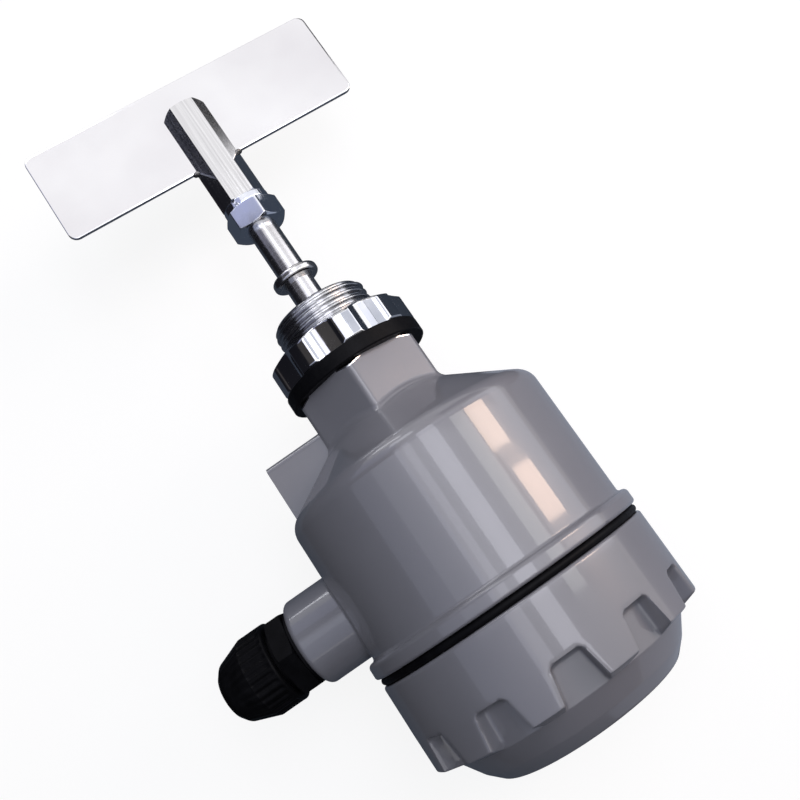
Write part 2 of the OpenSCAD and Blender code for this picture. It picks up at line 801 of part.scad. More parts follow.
// Insulating plate under the motor
module terminal_plate() {
    color("#7a4d2b") lay() difference() {
        translate([0, 0, terminal_low]) cylinder(h = plate_t, r = plate_r);
        translate([plate_r, 0, terminal_low - eps]) cylinder(h = plate_t + 2 * eps, r = cable_d);
        for (a = pillar_angles)
            around(a, pillar_ring_r) translate([0, 0, terminal_low - eps])
                cylinder(h = plate_t + 2 * eps, r = small_screw_r + air / 3);
        around(earth_angle, earth_ring_r) translate([0, 0, terminal_low - eps])
            cylinder(h = plate_t + 2 * eps, r = earth_screw_r + air / 3);
    }
}

module terminal_plate_screws() {
    color("#8b8e91") lay() for (a = pillar_angles)
        around(a, pillar_ring_r)
            pan_screw(terminal_top + screw_in, terminal_low, small_screw_r, small_head_r);
}

// Moulded terminal block with a screw well and a wire mouth for each way
module terminal_block() {
    step = block_len / ways;
    color("#d9d6c8") lay() difference() {
        translate([-block_dep / 2, -block_len / 2, terminal_low - block_high])
            cube([block_dep, block_len, block_high]);
        for (i = [0:ways - 1]) translate([0, (i - (ways - 1) / 2) * step, 0]) {
            translate([0, 0, terminal_low - block_high - eps]) cylinder(h = well_l + eps, r = well_r);
            translate([0, -mouth_w / 2, terminal_low - mouth_w - mouth_foot])
                cube([block_dep, mouth_w, mouth_w]);
        }
    }
}

module terminal_screws() {
    step = block_len / ways;
    color("#c2a45a") lay() for (i = [0:ways - 1]) translate([0, (i - (ways - 1) / 2) * step, 0])
        translate([0, 0, terminal_low - block_high + well_l - terminal_screw_l]) difference() {
            cylinder(h = terminal_screw_l, r = well_r - air / 3);
            translate([-well_r, -slot_w / 2, -eps]) cube([2 * well_r, slot_w, slot_t + eps]);
        }
}

// Earth screw on the terminal plate
module earth_screw() {
    color("#c2a45a") lay() around(earth_angle, earth_ring_r)
        pan_screw(terminal_top, terminal_low, earth_screw_r, earth_head_r);
}

// Sealing ring between rim flange and cover
module cover_seal() {
    color("#1b1b1d") lay() rotate_extrude()
        translate([cover_r - seal_t / 2 - 0.3, -body_l - seal_t / 2 - 0.1]) circle(seal_t / 2);
}

// Screwed cover: a cup with castle lugs round its smaller rounded end
module cover() {
    color("#7d7d82") lay() difference() {
        turned([[0, cover_low, 0], [end_r, cover_low, 3], [dome_mid_r, cover_low + dome_mid_h, 6],
            [dome_top_r, lug_low - lug_slope, 0], [cover_r, lug_low, 1.2], [cover_r, cover_top, 1],
            [0, cover_top, 0]]);
        cover_notches();
        turned([[0, cover_low + wall, 0], [end_r, cover_low + wall, 3], [cup_r, lug_low + wall, 2],
            [cup_r, spigot_z - 2, 0], [spigot_r + run_gap, spigot_z - 2, 0],
            [spigot_r + run_gap, cover_top + eps, 0], [0, cover_top + eps, 0]]);
    }
}

// Notches between the lugs, wider towards the end, down to the wall of the dome
module cover_notches() {
    pitch_w = 2 * PI * cover_r / lug_count;
    end_w = pitch_w - lug_w;
    top_w = end_w - lug_taper;
    first_notch = 82 + 180 / lug_count;
    notch_low = lug_low - lug_slope - eps;
    for (i = [0:lug_count - 1])
        intersection() {
            translate([0, 0, notch_low])
                difference() {
                    cylinder(h = lug_top - notch_low, r = cover_r + eps);
                    translate([0, 0, -eps]) cylinder(h = lug_top - notch_low + 2 * eps, r = dome_top_r);
                }
            around(first_notch + i * 360 / lug_count, 0) rotate([90, 0, 90])
                linear_extrude(height = cover_r + 2 * eps)
                    polygon([[-end_w / 2, notch_low - eps], [end_w / 2, notch_low - eps],
                        [top_w / 2, lug_top], [-top_w / 2, lug_top]]);
        }
}

// Fibre washer under the gland's hexagon
module gland_washer() {
    color("#1f1f21") lay() at_gland() ring(gland_r + fit_gap, boss_r - 2.2, boss_x, hex_x, 0.3);
}

// Gland body: thread into the boss, hexagon, and thread for the dome nut
module gland_body() {
    color("#17171a") lay() at_gland() difference() {
        union() {
            ring(0, gland_r, gland_in, hex_x, 0);
            turned_hexagon(gland_af, hex_x, hex_x + hex_t, 90, 0.4, 0.6);
            ring(0, dome_thread_r, hex_x + hex_t, insert_x + 1, 0);
        }
        translate([0, 0, gland_in - eps]) cylinder(h = dome_x, r = gland_bore_r);
    }
}

// Rubber insert that grips the cable
module gland_insert() {
    color("#2a2a2e") lay() at_gland()
        ring(cable_d / 2, insert_r, insert_x + 1, insert_x + insert_l, 0.8);
}

// Dome nut with fine ribs along its grip and a rounded mouth
module gland_nut() {
    mouth = dome_x + dome_l;
    color("#17171a") lay() at_gland() difference() {
        turned([[0, dome_x, 0], [dome_r, dome_x, 0.8], [dome_r, dome_x + grip_l, 0.8],
            [insert_r + 1.6, mouth - 2.2, 3], [insert_r - 1, mouth, 1], [0, mouth, 0]]);
        translate([0, 0, dome_x - eps])
            cylinder(h = insert_x + 1 - dome_x + 2 * eps, r = dome_thread_r + run_gap);
        translate([0, 0, insert_x + 1]) cylinder(h = insert_l - 1 + air, r = insert_r + air);
        translate([0, 0, dome_x]) cylinder(h = dome_l + eps, r = cable_d / 2 + 1);
        for (i = [0:grip_ribs - 1])
            around(i * 360 / grip_ribs, dome_r + groove_r - groove_t) translate([0, 0, dome_x + 1.2])
                cylinder(h = grip_l, r = groove_r);
    }
}

housing();
process_nipple();
gasket();
lock_nut();
shaft_seal();
bearing_outer(front_bearing_z);  // front_bearing_outer
bearing_balls(front_bearing_z);  // front_bearing_balls
bearing_inner(front_bearing_z);  // front_bearing_inner
bearing_outer(rear_bearing_z);  // rear_bearing_outer
bearing_balls(rear_bearing_z);  // rear_bearing_balls
bearing_inner(rear_bearing_z);  // rear_bearing_inner
rear_bearing_clip();
shaft();
shaft_clips();
collar_ring();
jam_nut();
spring_washer();
paddle_hub();
paddle();
clutch_hub();
clutch_screws();
drive_shaft();
chassis_plate();
chassis_screws();
pivot_bush();
bush_clip();
swing_plate();
cam();
motor_posts();
motor_gearbox();
motor_case();
spring_post();
spring_anchor();
return_spring();
stop_pins();
switch_case(switch_angles[0]);  // signal_switch
switch_plunger(switch_angles[0], low_tip_r);  // signal_plunger
switch_case(switch_angles[1]);  // stop_switch
switch_plunger(switch_angles[1], high_tip_r);  // stop_plunger
switch_screws();
terminal_pillars();
terminal_plate();
terminal_plate_screws();
terminal_block();
terminal_screws();
earth_screw();
cover_seal();
cover();
gland_washer();
gland_body();
gland_insert();
gland_nut();
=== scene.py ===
import bmesh
import bpy
import numpy as np
from mathutils import Matrix, Vector


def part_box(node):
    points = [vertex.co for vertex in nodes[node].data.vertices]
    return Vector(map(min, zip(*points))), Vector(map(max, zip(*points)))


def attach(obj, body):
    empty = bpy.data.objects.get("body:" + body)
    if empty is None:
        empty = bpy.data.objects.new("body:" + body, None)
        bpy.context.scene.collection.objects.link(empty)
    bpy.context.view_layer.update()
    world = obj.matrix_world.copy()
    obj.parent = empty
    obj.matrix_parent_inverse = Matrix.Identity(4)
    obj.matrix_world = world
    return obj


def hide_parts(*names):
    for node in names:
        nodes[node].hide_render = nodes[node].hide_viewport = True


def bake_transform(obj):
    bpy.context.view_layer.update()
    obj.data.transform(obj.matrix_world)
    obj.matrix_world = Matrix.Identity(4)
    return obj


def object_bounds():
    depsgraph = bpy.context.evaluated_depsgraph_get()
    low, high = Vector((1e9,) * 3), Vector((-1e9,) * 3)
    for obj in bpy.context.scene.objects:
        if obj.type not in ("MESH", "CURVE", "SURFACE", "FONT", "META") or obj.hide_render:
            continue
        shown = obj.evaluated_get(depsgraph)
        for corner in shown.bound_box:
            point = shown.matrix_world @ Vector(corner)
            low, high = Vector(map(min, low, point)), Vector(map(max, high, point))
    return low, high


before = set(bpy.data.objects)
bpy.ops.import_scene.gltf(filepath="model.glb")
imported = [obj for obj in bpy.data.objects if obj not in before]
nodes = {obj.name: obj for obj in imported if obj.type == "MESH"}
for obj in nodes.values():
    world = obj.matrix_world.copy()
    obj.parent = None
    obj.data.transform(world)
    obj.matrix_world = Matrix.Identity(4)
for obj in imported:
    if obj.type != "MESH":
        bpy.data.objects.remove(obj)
cad_low, cad_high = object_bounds()

# Camera: the switch lies on its side and is seen from above, with the shaft running up to the left.
# The lens stands about a third of a metre over the table, and a small shift sets the switch in its frame.
camera_data = bpy.data.cameras.new("camera")
camera_data.sensor_width = 36
camera_data.lens = 42.08
camera_data.shift_x = -0.04536
camera_data.shift_y = -0.0255
camera_data.clip_start = 0.01
camera_at = Vector((-0.070877, -0.018749, 0.290418))
camera_right = Vector((-0.561343, -0.820624, -0.107100))
camera_up = Vector((0.806084, -0.571469, 0.153795))
camera_back = camera_right.cross(camera_up)
camera_turn = Matrix((camera_right, camera_up, camera_back)).transposed().to_4x4()
camera = bpy.data.objects.new("camera", camera_data)
camera.matrix_world = Matrix.Translation(camera_at) @ camera_turn
bpy.context.collection.objects.link(camera)
bpy.context.scene.camera = camera
bpy.context.scene.view_settings.view_transform = "Standard"

# Table: a plain white sheet under the switch. It looks white to the camera and in bright metal,
# and keeps the soft shadow of what lies on it.
floor_half = 6.0
table_gap = 0.0002
floor_z = cad_low.z - table_gap
corners = np.array([(-1, -1), (1, -1), (1, 1), (-1, 1)]) * floor_half
floor_mesh = bpy.data.meshes.new("table")
floor_mesh.from_pydata([(x, y, floor_z) for x, y in corners], [], [(0, 1, 2, 3)])
floor = bpy.data.objects.new("table", floor_mesh)
bpy.context.collection.objects.link(floor)


def white_to_view(tree, lit, glow, out):
    """Shows the glow to camera, glossy and transmission rays, and the lit shader to all others."""
    path = tree.nodes.new("ShaderNodeLightPath")
    either = tree.nodes.new("ShaderNodeMath")
    either.operation = "MAXIMUM"
    any_of = tree.nodes.new("ShaderNodeMath")
    any_of.operation = "MAXIMUM"
    tree.links.new(path.outputs["Is Camera Ray"], either.inputs[0])
    tree.links.new(path.outputs["Is Glossy Ray"], either.inputs[1])
    tree.links.new(either.outputs[0], any_of.inputs[0])
    tree.links.new(path.outputs["Is Transmission Ray"], any_of.inputs[1])
    choose = tree.nodes.new("ShaderNodeMixShader")
    tree.links.new(any_of.outputs[0], choose.inputs["Fac"])
    tree.links.new(lit, choose.inputs[1])
    tree.links.new(glow, choose.inputs[2])
    tree.links.new(choose.outputs[0], out)


sheet = bpy.data.materials.new("table_sheet")
sheet.use_nodes = True
sheet_tree = sheet.node_tree
sheet_tree.nodes.clear()
sheet_lit = sheet_tree.nodes.new("ShaderNodeBsdfDiffuse")
sheet_lit.inputs["Color"].default_value = (0.42, 0.42, 0.44, 1)
sheet_soft = sheet_tree.nodes.new("ShaderNodeBsdfDiffuse")
sheet_soft.inputs["Color"].default_value = (0.22, 0.22, 0.22, 1)
sheet_glow = sheet_tree.nodes.new("ShaderNodeEmission")
sheet_glow.inputs["Strength"].default_value = 0.86
sheet_both = sheet_tree.nodes.new("ShaderNodeAddShader")
sheet_out = sheet_tree.nodes.new("ShaderNodeOutputMaterial")
sheet_tree.links.new(sheet_soft.outputs[0], sheet_both.inputs[0])
sheet_tree.links.new(sheet_glow.outputs[0], sheet_both.inputs[1])
white_to_view(sheet_tree, sheet_lit.outputs[0], sheet_both.outputs[0], sheet_out.inputs["Surface"])
floor_mesh.materials.append(sheet)

# Studio: an even pale room, a window of panes overhead and to the right, two of them warm, and soft sky
# panes beside them. Two panes far out beyond the paddle light the sloping shoulder. Cards that only
# reflections show give the bright metal and the glossy paint their dark and bluish parts.
room = bpy.data.worlds.new("room")
room.use_nodes = True
room_tree = room.node_tree
room_tree.nodes.clear()
room_air = room_tree.nodes.new("ShaderNodeBackground")
room_air.inputs["Color"].default_value = (0.90, 0.90, 0.94, 1)
room_air.inputs["Strength"].default_value = 0.11
room_white = room_tree.nodes.new("ShaderNodeBackground")
room_white.inputs["Color"].default_value = (0.97, 0.96, 0.98, 1)
room_white.inputs["Strength"].default_value = 1.0
room_out = room_tree.nodes.new("ShaderNodeOutputWorld")
white_to_view(room_tree, room_air.outputs[0], room_white.outputs[0], room_out.inputs["Surface"])
bpy.context.scene.world = room


def window_pane(name, angle, spread_deg, x_low, x_high, glow, colour, far=0.95):
    """Rectangular lamp at an angle about the shaft and a distance from it, turned to face it. It is as
    wide as a spread seen from the shaft, and as long as a stretch of X."""
    turn = np.radians(angle)
    lamp = bpy.data.lights.new(name, "AREA")
    lamp.shape = "RECTANGLE"
    lamp.size = x_high - x_low
    lamp.size_y = 2 * far * np.tan(np.radians(spread_deg) / 2)
    lamp.energy = glow * np.pi * lamp.size * lamp.size_y
    lamp.color = colour
    holder = bpy.data.objects.new(name, lamp)
    holder.location = ((x_low + x_high) / 2, far * np.cos(turn), far * np.sin(turn))
    holder.rotation_euler = (turn - np.pi / 2, 0, 0)
    holder.visible_camera = False
    bpy.context.collection.objects.link(holder)


window_pane("left_pane", 88, 13, -0.34, 0.35, 1.6, (0.88, 0.88, 1.0))
window_pane("middle_pane", 110, 15, -0.30, 0.47, 2.9, (0.90, 0.90, 1.0))
window_pane("right_pane", 136, 12, -0.16, 0.15, 2.2, (0.96, 0.98, 0.94))
window_pane("upper_warm_pane", 152, 18, 0.035, 0.16, 10.0, (1.0, 0.72, 0.54))
window_pane("lower_warm_pane", 157, 18, -0.075, 0.005, 10.5, (1.0, 0.70, 0.52))
window_pane("sky", 116, 56, -0.14, 0.45, 1.0, (0.86, 0.89, 1.0))
window_pane("right_sky", 168, 46, -0.14, 0.45, 1.5, (0.88, 0.90, 1.0))
window_pane("far_pane", 90, 28, 0.9, 1.5, 3.0, (0.90, 0.93, 1.0))
window_pane("front_pane", 60, 60, 0.9, 1.3, 5.0, (0.92, 0.94, 1.0), far=0.35)
for spread_deg in (26, 18, 9):
    window_pane("left_sky_%d" % spread_deg, 72, spread_deg, -0.14, 0.20, 0.55, (0.86, 0.90, 1.0))


def reflected_card(name, corner, across, along, tone):
    """Flat card of one tone from a corner and its two sides, seen only in reflections."""
    corner, across, along = Vector(corner), Vector(across), Vector(along)
    mesh = bpy.data.meshes.new(name)
    mesh.from_pydata([corner, corner + across, corner + across + along, corner + along], [], [(0, 1, 2, 3)])
    card = bpy.data.objects.new(name, mesh)
    bpy.context.collection.objects.link(card)
    cloth = bpy.data.materials.new(name)
    cloth.use_nodes = True
    shader = cloth.node_tree.nodes["Principled BSDF"]
    shader.inputs["Base Color"].default_value = (0, 0, 0, 1)
    shader.inputs["Roughness"].default_value = 1
    shader.inputs["Specular IOR Level"].default_value = 0
    shader.inputs["Emission Color"].default_value = (*tone, 1)
    shader.inputs["Emission Strength"].default_value = 1
    mesh.materials.append(cloth)
    card.visible_camera = False
    card.visible_diffuse = False
    card.visible_shadow = False


reflected_card(
    "left_card", (-0.9, 0.13, floor_z + 0.002), (2.0, 0, 0), (0, 0.5, 0.55), (0.012, 0.012, 0.016),
)
reflected_card("boss_card", (-0.9, 0.10, 1.1), (1.03, 0, 0), (0, 0.9, -0.4), (0.42, 0.45, 0.58))
reflected_card("shaft_card", (0.13, 0.10, 1.1), (0.415, 0, 0), (0, 0.9, -0.4), (0.07, 0.065, 0.065))
reflected_card("nut_card", (0.545, 0.10, 1.1), (0.955, 0, 0), (0, 0.9, -0.4), (0.44, 0.46, 0.64))
reflected_card("sky_card", (0.13, 0.10, 1.15), (0.34, 0, 0), (0, -0.9, -0.15), (0.05, 0.05, 0.055))
reflected_card("right_card", (0.13, -0.8, 1.0), (0.34, 0, 0), (0, -0.5, -0.8), (0.05, 0.05, 0.055))
reflected_card("hub_card", (0.54, -0.55, 0.62), (0.5, 0, 0), (0, -0.42, -0.62), (0.03, 0.03, 0.032))
reflected_card("end_card", (-0.62, -0.8, floor_z + 0.001), (0, 1.6, 0), (0, 0, 0.6), (0.05, 0.05, 0.06))
reflected_card(
    "table_card", (-0.6, -0.5, floor_z + 0.0001), (1.1, 0, 0), (0, 1.0, 0), (0.045, 0.055, 0.075),
)
reflected_card("body_card", (-0.6, -0.5, floor_z + 0.0002), (0.60, 0, 0), (0, 0.46, 0), (0.26, 0.29, 0.36))

# Housing: one aluminium casting with a hexagon neck, sloping shoulder, cylinder, rim and gland boss.
# It is machined at the seat and bores and sprayed with a glossy grey enamel. Cast fillets soften the
# corners at the foot of the neck and of the boss.


def begin_finish(name):
    """New material with its shader and the piece's own coordinates."""
    finish = bpy.data.materials.new(name)
    finish.use_nodes = True
    tree = finish.node_tree
    place = tree.nodes.new("ShaderNodeTexCoord")
    return finish, tree, tree.nodes["Principled BSDF"], place.outputs["Object"]


def grain(tree, place, scale, stretch=(1, 1, 1), detail=3):
    """Noise over the piece's coordinates, finer along an axis with a larger stretch."""
    mapping = tree.nodes.new("ShaderNodeMapping")
    mapping.inputs["Scale"].default_value = stretch
    noise = tree.nodes.new("ShaderNodeTexNoise")
    noise.inputs["Scale"].default_value = scale
    noise.inputs["Detail"].default_value = detail
    tree.links.new(place, mapping.inputs["Vector"])
    tree.links.new(mapping.outputs["Vector"], noise.inputs["Vector"])
    return noise.outputs["Fac"]


# Most of a noise lies between these two values
noise_low = 0.3
noise_high = 0.7


def spread(tree, source, low, high, target):
    """Carries the middle of a noise to a range of values on a socket."""
    reach = tree.nodes.new("ShaderNodeMapRange")
    reach.inputs["From Min"].default_value = noise_low
    reach.inputs["From Max"].default_value = noise_high
    reach.inputs["To Min"].default_value = low
    reach.inputs["To Max"].default_value = high
    tree.links.new(source, reach.inputs["Value"])
    tree.links.new(reach.outputs["Result"], target)


def shade(tree, source, dark, light, target):
    """Runs a colour socket from a dark to a light tone with a noise."""
    ramp = tree.nodes.new("ShaderNodeValToRGB")
    ramp.color_ramp.elements[0].position = noise_low
    ramp.color_ramp.elements[0].color = (*dark, 1)
    ramp.color_ramp.elements[1].position = noise_high
    ramp.color_ramp.elements[1].color = (*light, 1)
    tree.links.new(source, ramp.inputs["Fac"])
    tree.links.new(ramp.outputs["Color"], target)


def relief(tree, shader, source, height, strength):
    """Bump of a given height in metres from a noise."""
    bump = tree.nodes.new("ShaderNodeBump")
    bump.inputs["Distance"].default_value = height
    bump.inputs["Strength"].default_value = strength
    tree.links.new(source, bump.inputs["Height"])
    tree.links.new(bump.outputs["Normal"], shader.inputs["Normal"])


def mottle(tree, shader, place, tone_scale, dark, light, rough_scale, low, high, stretch=(1, 1, 1)):
    """Varies a finish's tone with one noise, which may be stretched, and its roughness with another."""
    shade(tree, grain(tree, place, tone_scale, stretch), dark, light, shader.inputs["Base Color"])
    spread(tree, grain(tree, place, rough_scale), low, high, shader.inputs["Roughness"])


def dress(finish, *names):
    """Gives CAD nodes a finish in all their material slots."""
    for name in names:
        for place in nodes[name].material_slots:
            place.material = finish


enamel, tree, shader, place = begin_finish("grey_enamel")
mottle(tree, shader, place, 28, (0.222, 0.223, 0.248), (0.242, 0.243, 0.268), 60, 0.28, 0.34)
relief(tree, shader, grain(tree, place, 85, detail=0), 0.001, 0.12)
shader.inputs["Coat Weight"].default_value = 0.9
shader.inputs["Coat Roughness"].default_value = 0.05
dress(enamel, "housing")


def box_mm(node):
    """Lowest and highest corner of a node, in millimetres."""
    low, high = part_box(node)
    return np.array(low) * 1000, np.array(high) * 1000


def skin(rings, loop):
    """Faces over an array of rings (rows, columns, xyz). Each ring closes on itself. The last row joins
    the first in a loop, or else each end ring is closed by a fan to its middle."""
    rows, columns, _ = rings.shape
    i, j = np.meshgrid(np.arange(rows if loop else rows - 1), np.arange(columns), indexing="ij")
    down = (i + 1) % rows
    along = (j + 1) % columns
    quads = np.stack([i * columns + j, down * columns + j, down * columns + along, i * columns + along], -1)
    faces = quads.reshape(-1, 4).tolist()
    points = rings.reshape(-1, 3)
    if not loop:
        column = np.arange(columns)
        after = np.roll(column, -1)
        middle = np.full(columns, rows * columns)
        last_row = (rows - 1) * columns
        faces += np.stack([column, after, middle], -1).tolist()
        faces += np.stack([last_row + after, last_row + column, middle + 1], -1).tolist()
        points = np.vstack([points, rings[[0, -1]].mean(1)])
    return points, faces


def put_piece(name, points, faces, finish, body, slot, crease=38):
    """Object at the origin from points in millimetres, its faces turned outwards and shaded smooth
    across edges below the crease angle. It rides on a body, if one is named."""
    mesh = bpy.data.meshes.new(name)
    mesh.from_pydata((points * 0.001).tolist(), [], faces)
    shape = bmesh.new()
    shape.from_mesh(mesh)
    bmesh.ops.recalc_face_normals(shape, faces=shape.faces)
    shape.to_mesh(mesh)
    shape.free()
    mesh.polygons.foreach_set("use_smooth", np.ones(len(mesh.polygons), dtype=bool))
    mesh.set_sharp_from_angle(angle=np.radians(crease))
    mesh.materials.append(finish)
    piece = bpy.data.objects.new(name, mesh)
    bpy.context.collection.objects.link(piece)
    if body:
        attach(piece, body)
    return piece


def about_shaft(along, radius, angle):
    """Points at places along X, radii and angles about X, the angle running from +Y to +Z."""
    along, radius, angle = np.broadcast_arrays(along, radius, angle)
    return np.stack([along, radius * np.cos(angle), radius * np.sin(angle)], -1)


def cove(wall_end, corner, foot_end, sunk, rows=12):
    """Rings of a cast fillet: a quadratic curve from the wall to the foot that the corner pulls in,
    closed behind by one ring sunk in the casting."""
    t = np.linspace(0, 1, rows)[:, None, None]
    curve = (1 - t) ** 2 * wall_end + 2 * t * (1 - t) * corner + t ** 2 * foot_end
    return np.concatenate([curve, sunk[None]])


def rounded_hexagon(angle, flats, edge_r):
    """Radius of a hexagon with a corner up: half its flats over the cosine from the middle of a side,
    and at each corner an arc of the edge radius about a centre inside it."""
    from_corner = np.mod(angle, np.pi / 3) - np.pi / 6
    centre = flats / np.sqrt(3) - edge_r / np.sin(np.pi / 3)
    side = flats / 2 / np.cos(np.pi / 6 - np.abs(from_corner))
    past_centre = np.sqrt(np.maximum(edge_r ** 2 - (centre * np.sin(from_corner)) ** 2, 0))
    arc = centre * np.cos(from_corner) + past_centre
    arc_half = np.arctan2(edge_r * np.sin(np.pi / 6), centre + edge_r * np.cos(np.pi / 6))
    return np.where(np.abs(from_corner) < arc_half, arc, side)


neck_flats = 41.0
neck_edge_r = 2.5
cone_top = np.array([-15.0, 19.5])
cone_foot = np.array([-30.5, 44.5])
fillet_leg = 2.4
fillet_root = 1.0
skin_sink = 0.02
turn = np.linspace(0, 2 * np.pi, 240, endpoint=False)
neck_r = rounded_hexagon(turn, neck_flats, neck_edge_r)
down_cone = (cone_foot - cone_top) / np.linalg.norm(cone_foot - cone_top)
cone_leg = fillet_leg * down_cone
corner_x = cone_top[0] + (neck_r - cone_top[1]) * down_cone[0] / down_cone[1]
neck_fillet = cove(
    about_shaft(corner_x + fillet_leg, neck_r - skin_sink, turn),
    about_shaft(corner_x, neck_r, turn),
    about_shaft(corner_x + cone_leg[0] - skin_sink, neck_r + cone_leg[1], turn),
    about_shaft(corner_x - fillet_root, neck_r - fillet_root, turn),
)
put_piece("neck_fillet", *skin(neck_fillet, True), enamel, "housing", "housing_paint")

gland_low, gland_high = box_mm("gland_body")
gland_x = (gland_low[0] + gland_high[0]) / 2
boss_r = 14.2
body_r = 44.5


def about_gland(radius, height, angle):
    """Points at radii, heights and angles about the gland's axis, which runs along +Y."""
    radius, height, angle = np.broadcast_arrays(radius, height, angle)
    return np.stack([gland_x - radius * np.cos(angle), height, radius * np.sin(angle)], -1)


def body_height(radius, angle):
    """Height of the cylinder's wall at a radius and angle about the gland's axis."""
    return np.sqrt(body_r ** 2 - (radius * np.sin(angle)) ** 2)


boss_leg = 0.8
boss_foot_r = boss_r + boss_leg
boss_fillet = cove(
    about_gland(boss_r - skin_sink, body_height(boss_r, turn) + boss_leg, turn),
    about_gland(boss_r, body_height(boss_r, turn), turn),
    about_gland(boss_foot_r, body_height(boss_foot_r, turn) - skin_sink, turn),
    about_gland(boss_r - fillet_root, body_height(boss_r, turn) - fillet_root, turn),
)
put_piece("boss_fillet", *skin(boss_fillet, True), enamel, "housing", "housing_paint")

# Nipple: bright turned steel with the parallel pipe thread, set in the neck's bore.
# The shaft's bearings and lip seal sit in its own bore.


def steel(name, dark, light, low, high, stretch, height):
    """Bright steel whose fine lines follow a stretch: tone, roughness and bump share one noise."""
    finish, tree, shader, place = begin_finish(name)
    lines = grain(tree, place, 1.0, stretch)
    shade(tree, lines, dark, light, shader.inputs["Base Color"])
    spread(tree, lines, low, high, shader.inputs["Roughness"])
    relief(tree, shader, lines, height, 0.25)
    shader.inputs["Metallic"].default_value = 1
    return finish


turned_steel = steel(
    "turned_steel", (0.46, 0.46, 0.47), (0.64, 0.64, 0.65), 0.12, 0.24, (5200, 30, 30), 0.00002,
)


def rounded_path(corners, steps=6):
    """Open profile through (along, out, radius) corners: each corner with a radius becomes an arc of it
    between its two tangent points."""
    path = [np.array(corners[:1])[:, :2]]
    for before, (along, out, radius), after in zip(corners, corners[1:], corners[2:]):
        corner = np.array([along, out])
        if radius == 0:
            path.append(corner[None])
            continue
        back = np.array(before[:2]) - corner
        ahead = np.array(after[:2]) - corner
        back = back / np.linalg.norm(back)
        ahead = ahead / np.linalg.norm(ahead)
        half = np.arccos(back @ ahead) / 2
        middle = (back + ahead) / np.linalg.norm(back + ahead)
        centre = corner + middle * radius / np.sin(half)
        first = corner + back * radius / np.tan(half) - centre
        last = corner + ahead * radius / np.tan(half) - centre
        sweep = np.pi - 2 * half
        share = np.linspace(0, 1, steps + 1)[:, None]
        swung = np.sin((1 - share) * sweep) * first + np.sin(share * sweep) * last
        path.append(centre + swung / np.sin(sweep))
    path.append(np.array(corners[-1:])[:, :2])
    return np.concatenate(path)


nipple_low, nipple_high = box_mm("process_nipple")
gasket_high = box_mm("gasket")[1]
thread_end = nipple_high[0]
thread_r = nipple_high[2]
thread_pitch = 2.309
thread_depth = 1.25
thread_rows = 18
thread_crease = 50
wave_share = 0.35
end_bevel_drop = 0.3
plain_r = 15.875
spigot_r = 15.0
spigot_edge_r = 0.8
seat_r = 13.03
mouth_bevel = 0.5
bore_r = 11.0
front_seat_l = 14.0
rear_seat_l = 11.0
front_seat = thread_end - front_seat_l
rear_seat = nipple_low[0] + rear_seat_l
clip_groove = nipple_low[0] + np.array([1.6, 2.8])
clip_groove_depth = 0.7
clip_groove_r = seat_r + clip_groove_depth
inside = rounded_path([
    (thread_end, seat_r + mouth_bevel, 0), (thread_end - mouth_bevel, seat_r, 0),
    (front_seat, seat_r, 0), (front_seat, bore_r, 0), (rear_seat, bore_r, 0), (rear_seat, seat_r, 0),
    (clip_groove[1], seat_r, 0), (clip_groove[1], clip_groove_r, 0),
    (clip_groove[0], clip_groove_r, 0), (clip_groove[0], seat_r, 0),
    (nipple_low[0], seat_r, 0), (nipple_low[0], spigot_r, spigot_edge_r),
    (0, spigot_r, 0), (0, plain_r, 0), (gasket_high[0], plain_r, 0),
])
rows = int((thread_end - gasket_high[0]) / thread_pitch * thread_rows)
thread_x = np.linspace(gasket_high[0], thread_end, rows + 1)[1:, None]
thread_turn = np.linspace(0, 2 * np.pi, 160, endpoint=False)
# Crest height round the helix: a ridge once in each pitch, part plain wave and part a wave with flatter
# top and root. It runs in from the plain stretch, and a bevel cuts it at the end.
ridge = 0.5 + 0.5 * np.cos(2 * np.pi * thread_x / thread_pitch - thread_turn)
ridge = wave_share * ridge + (1 - wave_share) * (3 * ridge ** 2 - 2 * ridge ** 3)
run_in = np.clip((thread_x - gasket_high[0]) / thread_pitch, 0, 1)
helix_r = plain_r + run_in * (thread_r - thread_depth * (1 - ridge) - plain_r)
end_bevel_r = thread_r - thread_depth - end_bevel_drop + (thread_end - thread_x)
helix_r = np.minimum(helix_r, end_bevel_r)
nipple = np.concatenate([
    about_shaft(inside[:, :1], inside[:, 1:], thread_turn),
    about_shaft(thread_x, helix_r, thread_turn),
])
nipple_skin = skin(nipple, True)
piece = put_piece("threaded_nipple", *nipple_skin, turned_steel, "housing", "thread_steel", thread_crease)
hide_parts("process_nipple")

# Bare bevels: where the turning of the seat cuts the neck's six corners, the metal has no paint.
# Each is a crescent of bright aluminium with fine turning lines, just under the gasket.
bare_metal = steel(
    "bare_metal", (0.70, 0.70, 0.71), (0.88, 0.88, 0.88), 0.14, 0.26, (2600, 30, 30), 0.00001,
)
bevel_land = 1.0
bevel_r = neck_flats / 2 + bevel_land
bevel_slope = np.tan(np.radians(35))
crescent_half = np.radians(11.8)
bevel_columns = 7
bevel_skin = 0.03
bevel_lean = 0.6
bevel_sink = 0.4
